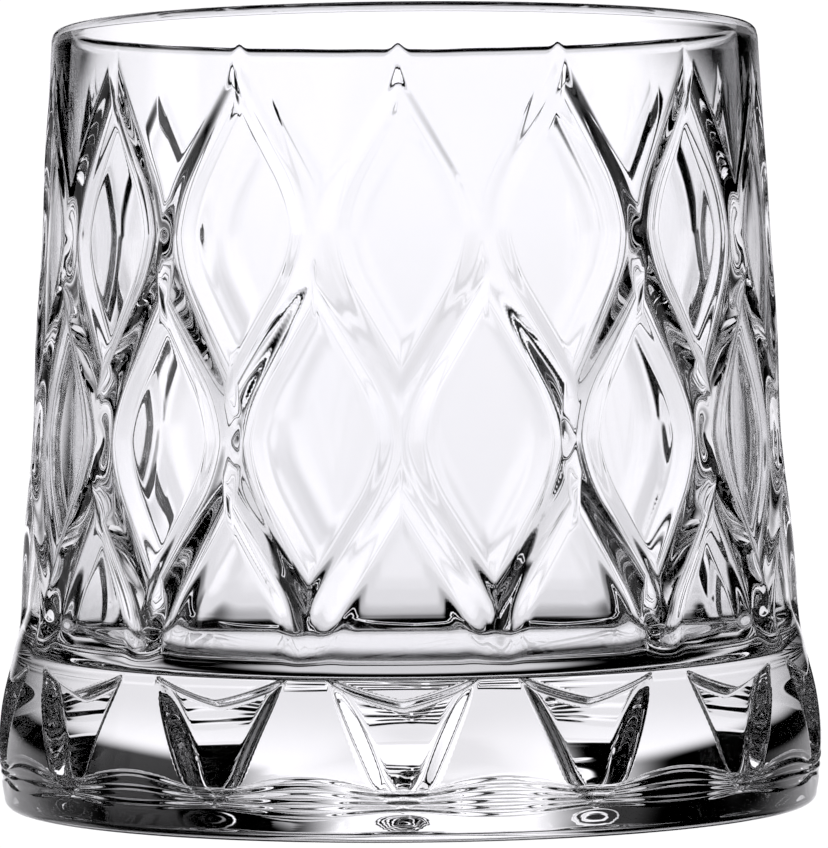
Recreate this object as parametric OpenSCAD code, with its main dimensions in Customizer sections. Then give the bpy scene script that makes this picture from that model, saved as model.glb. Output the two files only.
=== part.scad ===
// Squat whisky tumbler in thick clear glass, widening towards a heavy foot.
// The glass is one continuous casting. It is drawn here as the three regions
// that its mould gives it, and they meet face to face on level planes:
// a plain rim band, a wall covered in leaf-shaped panels, and a solid foot.
// Millimetres, +Z up. The origin is the centre of the ring it stands on.

/* [Overall] */
// Height from the table to the top of the lip
height = 84; // [83:0.5:86]
// Outer diameter at the lip
lip_d = 76.6; // [74:0.2:79]
// Largest diameter, low on the foot
foot_d = 89.4; // [88.6:0.2:92]
// Depth of the bowl from lip to floor
bowl_depth = 69.2; // [66:0.2:70]

/* [Wall] */
// Glass thickness at the lip
lip_wall = 2.2; // [1.8:0.1:3]
// Glass thickness at the foot of the wall
low_wall = 4; // [2.8:0.1:4.4]
// Height of the plain band above the panels
rim_band = 6; // [4:0.5:7]
// Radius where the wall turns into the floor
floor_fillet = 5.2; // [2.5:0.1:5.5]

/* [Leaf panels] */
// Panels in each row around the glass
leaf_count = 14; // [14]
// Length of a panel from tip to tip
leaf_length = 33.6; // [32:0.1:34]
// Height of the straight side between its two points
leaf_side = 5.9; // [5:0.1:7]
// Vertical distance from one row to the next
row_pitch = 20.9; // [20.5:0.1:21.5]
// Width of the rib left between two panels
rib_width = 1.6; // [1.4:0.1:2.4]
// Depth of a panel's flat floor at its middle
leaf_depth = 1; // [0.8:0.1:1.2]

/* [Foot notches] */
// Width of a notch across its upper corners
notch_width = 14.6; // [12:0.2:15]
// Height of the upper corners above the table
notch_top = 16; // [15:0.1:16]
// Height of the dip between the two corners
notch_dip = 14; // [13:0.1:14]
// Height of the blunt point at the bottom
notch_tip = 3.4; // [3:0.1:5]
// Width where the sides turn in to the point
notch_throat = 5.1; // [4:0.1:6]
// Depth of the notch just under its dip
notch_depth = 1.5; // [1:0.1:2]
// Depth of the notch at its point
notch_tip_depth = 1; // [0.5:0.1:1.4]

/* [Underside] */
// Radius of the rounded heel
heel_r = 1.1; // [1:0.1:2.4]
// Radius of the shallow hollow under the foot
hollow_r = 41; // [36:0.5:42]
// Depth of the hollow
hollow_depth = 0.9; // [0.4:0.1:1.2]

/* [Hidden] */
// Circles and revolved surfaces are divided this finely
$fn = 168;
glass = [0.93, 0.94, 0.97, 0.55];
pitch_angle = 360 / leaf_count;

// Heights of the planes where the regions meet
wall_top = height - rim_band;
floor_z = height - bowl_depth;
wall_foot = floor_z + floor_fillet;

// Outer profile: two slight cones above a concave and a convex arc
waist_z = 46;
waist_r = lip_d / 2 + 2.3;
waist_wall = low_wall - 0.6;
bulge_r = 28.8;
bulge_z = 6.5;
bulge_x = foot_d / 2 - bulge_r;
turn_z = 14;
shoulder_r = foot_d / 2 - 2.23;
flare_dip = 0.2;
arc_steps = 8;

// Height and width of the cell that a panel sits in
cell_half_width = PI * 2 * waist_r / leaf_count / 2;
cell_point = row_pitch - leaf_side;
cell_slope = atan2(cell_half_width, cell_point);
panel_half_width = cell_half_width - rib_width / 2;
// A panel's shoulder is eased between its straight side and its point
shoulder_z = leaf_side / 2 - 1.5;
shoulder_run = 4.5;
shoulder_in = 0.86;
first_row_z = wall_top - leaf_length / 2;
last_row_z = first_row_z - 2 * row_pitch;
ledge_z = notch_top + 2.4;
// How far a cutter reaches outside the glass
reach = 5;

function bulge(z) = bulge_x + sqrt(bulge_r * bulge_r - (z - bulge_z) * (z - bulge_z));
function flare(z) =
    let (t = (z - turn_z) / (wall_foot - turn_z))
    bulge(turn_z) * (1 - t) + shoulder_r * t - flare_dip * 4 * t * (1 - t);
function outer_r(z) =
    z < turn_z ? bulge(z)
    : z < wall_foot ? flare(z)
    : z < waist_z ? shoulder_r + (waist_r - shoulder_r) * (z - wall_foot) / (waist_z - wall_foot)
    : waist_r + (lip_d / 2 - waist_r) * (z - waist_z) / (height - waist_z);
function inner_r(z) =
    let (low = shoulder_r - low_wall, mid = waist_r - waist_wall, top = lip_d / 2 - lip_wall)
    z < waist_z ? low + (mid - low) * (z - wall_foot) / (waist_z - wall_foot)
    : mid + (top - mid) * (z - waist_z) / (height - waist_z);
function arc(cx, cy, r, a0, a1) =
    [for (i = [0:arc_steps]) let (a = a0 + (a1 - a0) * i / arc_steps) [cx + r * cos(a), cy + r * sin(a)]];

// Top band: upright ring with a fully rounded lip
module rim_profile() {
    lip_r = lip_wall / 2;
    lip_z = height - lip_r;
    polygon(concat(
        [[inner_r(wall_top), wall_top], [outer_r(wall_top), wall_top]],
        arc(lip_d / 2 - lip_r, lip_z, lip_r, 0, 180)
    ));
}

module wall_profile() {
    polygon([
        [inner_r(wall_foot), wall_foot],
        [outer_r(wall_foot), wall_foot],
        [outer_r(waist_z), waist_z],
        [outer_r(wall_top), wall_top],
        [inner_r(wall_top), wall_top],
        [inner_r(waist_z), waist_z]
    ]);
}

// Solid foot: hollowed underside, heel, bulge, flare, then the bowl's floor
module foot_profile() {
    heel_x = outer_r(heel_r) - heel_r;
    fillet_x = inner_r(wall_foot) - floor_fillet;
    polygon(concat(
        [[0, hollow_depth], [hollow_r - hollow_depth, hollow_depth], [hollow_r, 0]],
        arc(heel_x, heel_r, heel_r, -90, 0),
        [for (i = [1:arc_steps]) let (z = heel_r + (turn_z - heel_r) * i / arc_steps) [outer_r(z), z]],
        [for (i = [1:arc_steps]) let (z = turn_z + (wall_foot - turn_z) * i / arc_steps) [outer_r(z), z]],
        [[inner_r(wall_foot), wall_foot]],
        arc(fillet_x, floor_z + floor_fillet, floor_fillet, 0, -90),
        [[0, floor_z]]
    ));
}

// Upper half of a panel's outline, from its middle height to its point
function leaf_half(turn) = [
    for (p = [
        [1, 0], [1, shoulder_z], [shoulder_in, shoulder_z + shoulder_run], [0, leaf_length / 2],
        [-shoulder_in, shoulder_z + shoulder_run], [-1, shoulder_z], [-1, 0]
    ])
        turn * [p[0] * (abs(p[0]) > 0 ? panel_half_width : 0), p[1]]
];

// Outline of one panel, a point at each end, centred on its middle
module leaf_outline() {
    polygon(concat(leaf_half(1), leaf_half(-1)));
}

// The lowest panels have only the upper point, then run straight down to
// a ledge on the flare of the foot
module last_leaf_outline() {
    drop = last_row_z - ledge_z;
    polygon(concat(leaf_half(1), [[-panel_half_width, -drop], [panel_half_width, -drop]]));
}

// Stands an outline upright on the front of the glass, facing -Y, and
// extrudes it outwards from a plane that leans in by the given angle
module upright_cutter(floor_r, z, lean) {
    translate([0, -floor_r, z])
        rotate([90 - lean, 0, 0])
            linear_extrude(height = reach)
                children();
}

// A panel's flat floor follows the slope of the wall around height z
module leaf_cutter(z) {
    lean = atan2(outer_r(z - 8) - outer_r(z + 8), 16);
    upright_cutter(outer_r(z) - leaf_depth, z, lean) leaf_outline();
}

module last_leaf_cutter() {
    lean = atan2(shoulder_r - waist_r, waist_z - wall_foot);
    mid_z = wall_foot + 6;
    upright_cutter(outer_r(mid_z) - leaf_depth, mid_z, lean)
        translate([0, last_row_z - mid_z])
            last_leaf_outline();
}

module ring_of(turn = 0) {
    for (i = [0:leaf_count - 1])
        rotate([0, 0, (i + turn) * pitch_angle])
            children();
}

module leaf_rows() {
    ring_of() {
        leaf_cutter(first_row_z);
        last_leaf_cutter();
    }
    ring_of(turn = 0.5)
        leaf_cutter(first_row_z - row_pitch);
}

// Arrowhead notch with a flat floor, deepest under the dip
module notch_cutter() {
    dip_r = outer_r(notch_dip) - notch_depth;
    tip_r = outer_r(notch_tip) - notch_tip_depth;
    rise = notch_dip - notch_tip;
    lean = atan2(tip_r - dip_r, rise);
    half = notch_width / 2;
    throat = notch_throat / 2;
    upright_cutter(tip_r, notch_tip, lean)
        polygon([
            [0, 0], [throat, 0.6 * throat], [half, notch_top - notch_tip],
            [0, rise], [-half, notch_top - notch_tip], [-throat, 0.6 * throat]
        ]);
}

module rim() {
    color(glass)
        rotate_extrude() rim_profile();
}

module leaf_wall() {
    color(glass)
        difference() {
            rotate_extrude() wall_profile();
            leaf_rows();
        }
}

module foot() {
    color(glass)
        difference() {
            rotate_extrude() foot_profile();
            ring_of() {
                last_leaf_cutter();
                notch_cutter();
            }
        }
}

rim();
leaf_wall();
foot();
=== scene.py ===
import math

import bmesh
import bpy
import numpy as np
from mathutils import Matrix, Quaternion, Vector


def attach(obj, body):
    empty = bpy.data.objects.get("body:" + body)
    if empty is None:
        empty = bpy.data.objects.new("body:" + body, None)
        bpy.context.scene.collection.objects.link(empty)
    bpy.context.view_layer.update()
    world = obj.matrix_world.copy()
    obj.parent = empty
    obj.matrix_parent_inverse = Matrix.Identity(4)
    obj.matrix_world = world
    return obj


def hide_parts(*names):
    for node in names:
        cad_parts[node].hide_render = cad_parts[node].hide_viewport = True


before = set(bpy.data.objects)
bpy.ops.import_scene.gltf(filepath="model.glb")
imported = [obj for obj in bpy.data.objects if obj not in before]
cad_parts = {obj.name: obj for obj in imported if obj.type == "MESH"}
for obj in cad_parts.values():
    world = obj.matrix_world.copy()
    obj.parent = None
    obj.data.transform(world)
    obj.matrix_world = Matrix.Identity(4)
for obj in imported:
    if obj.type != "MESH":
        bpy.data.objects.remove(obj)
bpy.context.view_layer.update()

MM = 0.001

# ---------------------------------------------------------------- sizes, mm
HEIGHT = 84.0
LIP_R = 38.3          # outer radius at the lip
WAIST_R = 40.6        # outer radius at WAIST_Z
WAIST_Z = 46.0
SHOULDER_R = 42.42    # outer radius where the wall meets the foot
SHOULDER_Z = 20.0
TURN_Z = 14.0
BULGE_ARC = 28.8      # radius of the foot's rounded side
BULGE_R = 44.7        # largest radius
BULGE_Z = 6.5
HEEL = 1.1            # radius of the rounded heel
RING_R = 41.0         # inner edge of the ring it stands on
HOLLOW = 0.9          # depth of the hollow underneath

LIP_WALL = 2.2        # thickness at the lip
LOW_WALL = 4.0        # thickness low on the wall
WALL_GROWS = 36.0     # how far below the lip it thickens
FLOOR_Z = 14.8        # height of the bowl's floor
FILLET = 5.5          # radius where the wall turns into the floor
FLARE_DIP = 0.5       # hollow of the flare, times t(1 - t)

LEAVES = 14
CELL_R = 38.6         # radius at which a cell's width is measured
PITCH = 2 * math.pi / LEAVES
TURN = math.radians(-1.0)    # small turn of the pattern from facing -Y
TOP_TIP = 6.2         # depth below the lip of the top row's points
ROW = 21.1            # from one row down to the next
DIAG = 15.25          # height of a cell's sloping side
SIDE = 6.0            # height of a cell's upright side
RIB = 0.7             # half width of a rib's flat crest
BEVEL = 1.5           # width of the slope from the crest to the panel
DEPTH = 0.75          # depth of a panel below the crest
FADE_FROM = 17.0      # the panels run out between these heights
FADE_TO = 22.0
IN_RIB = 0.2          # the inside follows the outside more softly
IN_BEVEL = 2.4
IN_DEPTH = 0.65
CREASE = 0.35         # rounding of the bevel's two edges, as a share of it
SOFT = 2.2            # rounding of a cell's corners

NOTCH_HALF = 7.3      # half width across the upper corners
NOTCH_TOP = 16.0      # height of the upper corners
NOTCH_DIP = 2.0       # how far the middle dips below them
NOTCH_TIP = -1.2      # where the two sides would meet
NOTCH_END = 3.3       # height of the blunt point
NOTCH_R = 41.9        # radius of the facet at its top
NOTCH_TILT = 0.13     # how much it leans out towards its point
NOTCH_EASE = 0.3      # rounding of the notch's outer edges
NOTCH_STEEP = 1.3     # slope of the side walls
BROW_STEEP = 2.2      # slope of the upper wall
DIMPLE = 0.25         # soft dip around the point
DIMPLE_WIDTH = 3.2
DIMPLE_HEIGHT = 1.6
NOTCH_MID_R = 43.5    # radius at which a notch's widths are measured
BROW_CURVE = 1.25     # how the upper edge bends from its dip to its corners
POINT_SPREAD = 0.6    # slope of the blunt point's lower edges
POINT_LEAN = 0.86     # turns that height into a distance
RIPPLE = 0.32         # depth of the wavy lines around the heel
RIPPLE_Z = 3.3        # height of the lowest line
RIPPLES = 3
RIPPLE_STEP = 1.1     # height from one line to the next
RIPPLE_NEARER = 0.4   # how much closer they come under a notch
RIPPLE_SWAY = 0.2     # how far they rise and fall

AROUND = LEAVES * 80  # vertices around the glass


def smooth(x, a, b):
    t = np.clip((x - a) / (b - a), 0, 1)
    return t * t * (3 - 2 * t)


def soft_min(a, b, k):
    h = np.clip(0.5 + 0.5 * (b - a) / k, 0, 1)
    return b * (1 - h) + a * h - k * h * (1 - h)


def soft_max(a, b, k):
    return -soft_min(-a, -b, k)


# ---------------------------------------------------------------- profile
def raw_outer(z):
    bulge = BULGE_R - BULGE_ARC + np.sqrt(BULGE_ARC**2 - (np.minimum(z, TURN_Z) - BULGE_Z) ** 2)
    turn_r = BULGE_R - BULGE_ARC + math.sqrt(BULGE_ARC**2 - (TURN_Z - BULGE_Z) ** 2)
    t = np.clip((z - TURN_Z) / (SHOULDER_Z - TURN_Z), 0, 1)
    flare = turn_r * (1 - t) + SHOULDER_R * t - FLARE_DIP * t * (1 - t)
    low = SHOULDER_R + (WAIST_R - SHOULDER_R) * (z - SHOULDER_Z) / (WAIST_Z - SHOULDER_Z)
    high = WAIST_R + (LIP_R - WAIST_R) * (z - WAIST_Z) / (HEIGHT - WAIST_Z)
    wall = np.where(z < WAIST_Z, low, high)
    return np.where(z < TURN_Z, bulge, np.where(z < SHOULDER_Z, flare, wall))


table_z = np.arange(-6.0, HEIGHT + 6.0, 0.1)
BLUR = 51             # samples over which the profile's corners are rounded
blur = np.hanning(BLUR) / np.hanning(BLUR).sum()
table_r = np.convolve(np.pad(raw_outer(table_z), BLUR // 2, mode="edge"), blur, "valid")


def outer(z):
    return np.interp(z, table_z, table_r)


lip_r = LIP_WALL / 2
lip_z = HEIGHT - lip_r


def inner(z):
    grown = 1 - np.exp(-(((z - lip_z) / WALL_GROWS) ** 2))
    return outer(z) - LIP_WALL - (LOW_WALL - LIP_WALL) * grown


# ---------------------------------------------------------------- relief
def panel(theta, z, rib, bevel, fade_from, fade_to):
    """0 on a rib, 1 on a panel's floor, with a straight bevel between."""
    depth = HEIGHT - z
    half = PITCH * CELL_R / 2
    lean = math.atan2(half, DIAG)
    best = np.full(np.broadcast(theta, z).shape, -9.0)
    for row in range(3):
        turn = theta / PITCH - (0.5 if row == 1 else 0.0)
        u = np.abs(turn - np.round(turn)) * 2 * half
        v = depth - (TOP_TIP + DIAG + SIDE / 2 - RIB / math.sin(lean) + row * ROW)
        v = np.where((row == 2) & (v > 0), 0 * v, np.abs(v))
        slope = (SIDE / 2 + DIAG - v) * math.sin(lean) - u * math.cos(lean)
        best = np.maximum(best, soft_min(half - u, slope, SOFT))
    slope = np.clip((best - rib) / bevel, -1, 2)
    rise = soft_max(slope, 0, CREASE) - soft_max(slope - 1, 0, CREASE)
    return rise * smooth(z, fade_from, fade_to)


def notch(theta, z):
    """Depth of the arrowhead notches: steep walls around a nearly upright facet."""
    turn = theta / PITCH
    u = np.abs(turn - np.round(turn)) * PITCH * NOTCH_MID_R
    lean = math.atan2(NOTCH_HALF, NOTCH_TOP - NOTCH_TIP)
    side = (NOTCH_HALF * (z - NOTCH_TIP) / (NOTCH_TOP - NOTCH_TIP) - u) * math.cos(lean)
    brow = NOTCH_TOP - NOTCH_DIP + NOTCH_DIP * (u / NOTCH_HALF) ** BROW_CURVE - z
    point = (z - NOTCH_END - POINT_SPREAD * u) * POINT_LEAN
    edge = soft_min(side * NOTCH_STEEP, brow * BROW_STEEP, 0.5)
    edge = soft_min(edge, point * NOTCH_STEEP, 1.2)
    facet = outer(z) - NOTCH_R - NOTCH_TILT * (NOTCH_TOP - z) - u * u / (2 * NOTCH_MID_R)
    cut = soft_max(soft_min(edge, facet, 0.4), 0, NOTCH_EASE)
    dimple = DIMPLE * np.exp(-((u / DIMPLE_WIDTH) ** 2) - ((z - NOTCH_END) / DIMPLE_HEIGHT) ** 2)
    return cut + dimple


def ripples(theta, z):
    """Fine wavy lines around the heel, closer together under each notch."""
    sway = np.cos(LEAVES * theta)
    near = 0.25 + 0.75 * smooth(sway, -1, 0.6)
    line = (z - RIPPLE_Z - RIPPLE_SWAY * sway) / (RIPPLE_STEP - RIPPLE_NEARER * sway)
    band = smooth(line, -0.7, 0) * smooth(line, RIPPLES - 0.3, RIPPLES - 1)
    return RIPPLE * (0.5 + 0.5 * np.cos(2 * math.pi * line)) * band * near


# ---------------------------------------------------------------- glass mesh
def arc(cx, cz, r, a0, a1, n):
    a = np.radians(np.linspace(a0, a1, n))
    return list(zip(cx + r * np.cos(a), cz + r * np.sin(a)))


heel_x = float(outer(HEEL)) - HEEL
low_in = float(inner(FLOOR_Z + FILLET))
STEP = 1.6            # width of the slope from the hollow to the ring
profile = [(r, HOLLOW) for r in np.linspace(2, RING_R - STEP, 16)]
for t in np.linspace(0.1, 1, 8):
    profile.append((RING_R - STEP + STEP * t, HOLLOW * (1 - t * t * (3 - 2 * t))))
profile += arc(heel_x, HEEL, HEEL, -90, 0, 12)
first_outer = len(profile)
# finest over the heel lines, then the notches, then the wall
heights = np.concatenate([
    np.arange(HEEL + 0.1, 6, 0.07),
    np.arange(6, 17, 0.16),
    np.linspace(17.1, lip_z - 0.2, 190),
])
profile += [(float(outer(z)), z) for z in heights]
last_outer = len(profile)
profile += arc(LIP_R - lip_r, lip_z, lip_r, 4, 176, 14)
first_inner = len(profile)
profile += [(float(inner(z)), z) for z in np.linspace(lip_z - 0.2, FLOOR_Z + FILLET, 130)]
profile += arc(low_in - FILLET, FLOOR_Z + FILLET, FILLET, -4, -90, 22)
last_inner = len(profile)
profile += [(r, FLOOR_Z) for r in np.linspace(low_in - FILLET, 2, 18)[1:]]
profile = np.array(profile)

theta = np.arange(AROUND) * 2 * math.pi / AROUND
R = np.repeat(profile[:, :1], AROUND, 1)
Z = np.repeat(profile[:, 1:], AROUND, 1)
T = np.repeat(theta[None, :], len(profile), 0)
on = slice(first_outer, last_outer)
leaves = DEPTH * panel(T[on], Z[on], RIB, BEVEL, FADE_FROM, FADE_TO)
R[on] -= leaves + notch(T[on], Z[on]) + ripples(T[on], Z[on])
within = slice(first_inner, last_inner)
R[within] -= IN_DEPTH * panel(T[within], Z[within], IN_RIB, IN_BEVEL, FLOOR_Z + 1, FLOOR_Z + 7)
co = np.stack([R * np.sin(T + TURN), -R * np.cos(T + TURN), Z], -1).reshape(-1, 3) * MM
centres = [(0, 0, HOLLOW * MM), (0, 0, FLOOR_Z * MM)]

index = np.arange(len(co)).reshape(len(profile), AROUND)
beside = np.roll(index, -1, 1)
faces = np.stack([index[:-1], beside[:-1], beside[1:], index[1:]], -1).reshape(-1, 4).tolist()
faces += [(len(co), b, a) for a, b in zip(index[0].tolist(), beside[0].tolist())]
faces += [(len(co) + 1, a, b) for a, b in zip(index[-1].tolist(), beside[-1].tolist())]
mesh = bpy.data.meshes.new("tumbler")
mesh.from_pydata(co.tolist() + centres, [], faces)
mesh.shade_smooth()
glass = bpy.data.objects.new("tumbler", mesh)
bpy.context.scene.collection.objects.link(glass)


# ---------------------------------------------------------------- materials
def nodes_of(mat):
    mat.use_nodes = True
    tree = mat.node_tree
    tree.nodes.clear()
    return tree, tree.nodes.new


mat = bpy.data.materials.new("clear_glass")
tree, new = nodes_of(mat)
out = new("ShaderNodeOutputMaterial")
bsdf = new("ShaderNodeBsdfPrincipled")
bsdf.inputs["Transmission Weight"].default_value = 1.0
bsdf.inputs["IOR"].default_value = 1.52
where = new("ShaderNodeTexCoord")
waves = new("ShaderNodeTexNoise")
waves.inputs["Scale"].default_value = 70
waves.inputs["Detail"].default_value = 2
wipes = new("ShaderNodeTexNoise")
wipes.inputs["Scale"].default_value = 420
wipes.inputs["Detail"].default_value = 4
tint = new("ShaderNodeValToRGB")
tint.color_ramp.elements[0].position = 0.3
tint.color_ramp.elements[0].color = (0.982, 0.985, 0.996, 1)
tint.color_ramp.elements[1].position = 0.7
tint.color_ramp.elements[1].color = (0.994, 0.994, 0.998, 1)
polish = new("ShaderNodeMapRange")
polish.inputs["From Min"].default_value = 0.55
polish.inputs["From Max"].default_value = 0.8
polish.inputs["To Min"].default_value = 0.0
polish.inputs["To Max"].default_value = 0.02
bump = new("ShaderNodeBump")
bump.inputs["Strength"].default_value = 0.25
bump.inputs["Distance"].default_value = 0.0001
link = tree.links.new
link(where.outputs["Object"], waves.inputs["Vector"])
link(where.outputs["Object"], wipes.inputs["Vector"])
link(waves.outputs["Fac"], tint.inputs["Fac"])
link(wipes.outputs["Fac"], polish.inputs["Value"])
link(waves.outputs["Fac"], bump.inputs["Height"])
link(tint.outputs["Color"], bsdf.inputs["Base Color"])
link(polish.outputs["Result"], bsdf.inputs["Roughness"])
link(bump.outputs["Normal"], bsdf.inputs["Normal"])
link(bsdf.outputs[0], out.inputs["Surface"])
mesh.materials.append(mat)

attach(glass, "root")
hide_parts("rim", "leaf_wall", "foot")

# ---------------------------------------------------------------- stage
floor_mesh = bpy.data.meshes.new("floor")
bm = bmesh.new()
bmesh.ops.create_circle(bm, cap_ends=True, radius=6.0, segments=64)
bm.to_mesh(floor_mesh)
bm.free()
floor = bpy.data.objects.new("floor", floor_mesh)
bpy.context.scene.collection.objects.link(floor)
floor.location.z = -0.0001
mat = bpy.data.materials.new("floor")
tree, new = nodes_of(mat)
out = new("ShaderNodeOutputMaterial")
emit = new("ShaderNodeEmission")
paper = new("ShaderNodeTexNoise")
paper.inputs["Scale"].default_value = 300
grain = new("ShaderNodeMapRange")
grain.inputs["To Min"].default_value = 1.02
grain.inputs["To Max"].default_value = 1.08
tree.links.new(paper.outputs["Fac"], grain.inputs["Value"])
tree.links.new(grain.outputs["Result"], emit.inputs["Strength"])
tree.links.new(emit.outputs[0], out.inputs["Surface"])
floor_mesh.materials.append(mat)
floor.visible_transmission = False
floor.visible_glossy = False

# ---------------------------------------------------------------- light
DARK = 0.0            # strength between the windows
TABLE = 0.7           # strength of the light from straight below
TABLE_FROM = -62      # elevation that it reaches up to, degrees
EDGE = 6              # softness of a window's top and bottom, degrees
# Each window of light: azimuth from +Y towards +X, half width above and
# below the horizon, softness, lowest and highest elevation, strength
WINDOWS = [
    (-3, 17, 60, 0.35, -23, 28, 1.2),
    (-100, 15, 15, 0.2, -20, 12, 0.85),
    (-45, 22, 22, 0.3, -38, -27, 1.2),
    (135, 24, 24, 0.3, -30, -6, 1.0),
]
world = bpy.data.worlds.new("studio")
bpy.context.scene.world = world
tree, new = nodes_of(world)
link = tree.links.new


def math_node(operation, *values):
    node = new("ShaderNodeMath")
    node.operation = operation
    for socket, value in zip(node.inputs, values):
        if isinstance(value, (int, float)):
            socket.default_value = value
        else:
            link(value, socket)
    return node.outputs[0]


def ramp(value, a, b, low, high):
    node = new("ShaderNodeMapRange")
    node.interpolation_type = "SMOOTHSTEP"
    link(value, node.inputs["Value"])
    for socket, number in zip(list(node.inputs)[1:5], (a, b, low, high)):
        socket.default_value = number
    return node.outputs[0]


coord = new("ShaderNodeTexCoord")
total = None
for azimuth, above, below, soft, lowest, highest, strength in WINDOWS:
    turned = new("ShaderNodeVectorRotate")
    turned.rotation_type = "Z_AXIS"
    turned.inputs["Angle"].default_value = math.radians(azimuth)
    link(coord.outputs["Generated"], turned.inputs["Vector"])
    xyz = new("ShaderNodeSeparateXYZ")
    link(turned.outputs[0], xyz.inputs[0])
    sideways = math_node("ARCTAN2", math_node("ABSOLUTE", xyz.outputs["X"]), xyz.outputs["Y"])
    elevation = math_node("ARCSINE", xyz.outputs["Z"])
    wide, narrow = math.radians(below), math.radians(above)
    width = ramp(elevation, math.radians(-5), math.radians(0), wide, narrow)
    taper = ramp(elevation, math.radians(1), math.radians(5), 1, 0.6)
    width = math_node("MULTIPLY", width, taper)
    across = ramp(math_node("DIVIDE", sideways, width), 1 - soft, 1 + soft, strength, DARK)
    top = ramp(elevation, math.radians(highest - EDGE), math.radians(highest + EDGE), 1, 0)
    bottom = ramp(elevation, math.radians(lowest - EDGE), math.radians(lowest + EDGE), 0, 1)
    tone = ramp(elevation, math.radians(-8), math.radians(1), 0.74, 1)
    across = math_node("MULTIPLY", across, tone)
    height = math_node("MULTIPLY", top, bottom)
    light = math_node("MAXIMUM", math_node("MULTIPLY", across, height), DARK)
    total = light if total is None else math_node("MAXIMUM", total, light)
table = ramp(elevation, math.radians(TABLE_FROM + 8), math.radians(TABLE_FROM - 8), 0, TABLE)
total = math_node("MAXIMUM", total, table)
around = new("ShaderNodeBackground")
around.inputs["Color"].default_value = (0.996, 0.983, 1.02, 1)    # slightly violet
link(total, around.inputs["Strength"])
seen = new("ShaderNodeBackground")
seen.inputs["Color"].default_value = (1, 1, 1, 1)
seen.inputs["Strength"].default_value = 1.05
path = new("ShaderNodeLightPath")
mix = new("ShaderNodeMixShader")
out = new("ShaderNodeOutputWorld")
link(path.outputs["Is Camera Ray"], mix.inputs[0])
link(around.outputs[0], mix.inputs[1])
link(seen.outputs[0], mix.inputs[2])
link(mix.outputs[0], out.inputs[0])

scene = bpy.context.scene
scene.view_settings.view_transform = "Standard"
scene.cycles.max_bounces = 24
scene.cycles.transmission_bounces = 24
scene.cycles.glossy_bounces = 8

# ---------------------------------------------------------------- camera
DISTANCE = 0.4775     # metres from the axis of the glass
EYE_Z = 0.04775
ROLL = math.radians(-0.5)
LENS = 190.4
cam = bpy.data.cameras.new("camera")
camera = bpy.data.objects.new("camera", cam)
scene.collection.objects.link(camera)
camera.location = (0, -DISTANCE, EYE_Z)
aim = Vector((0.0007, 0, 0.0410)) - camera.location
camera.rotation_mode = "QUATERNION"
roll = Quaternion((0, 0, 1), ROLL)
camera.rotation_quaternion = aim.to_track_quat("-Z", "Y") @ roll
cam.sensor_width = 36
cam.sensor_fit = "HORIZONTAL"
cam.lens = LENS
cam.clip_start = 0.01
cam.clip_end = 100
scene.camera = camera
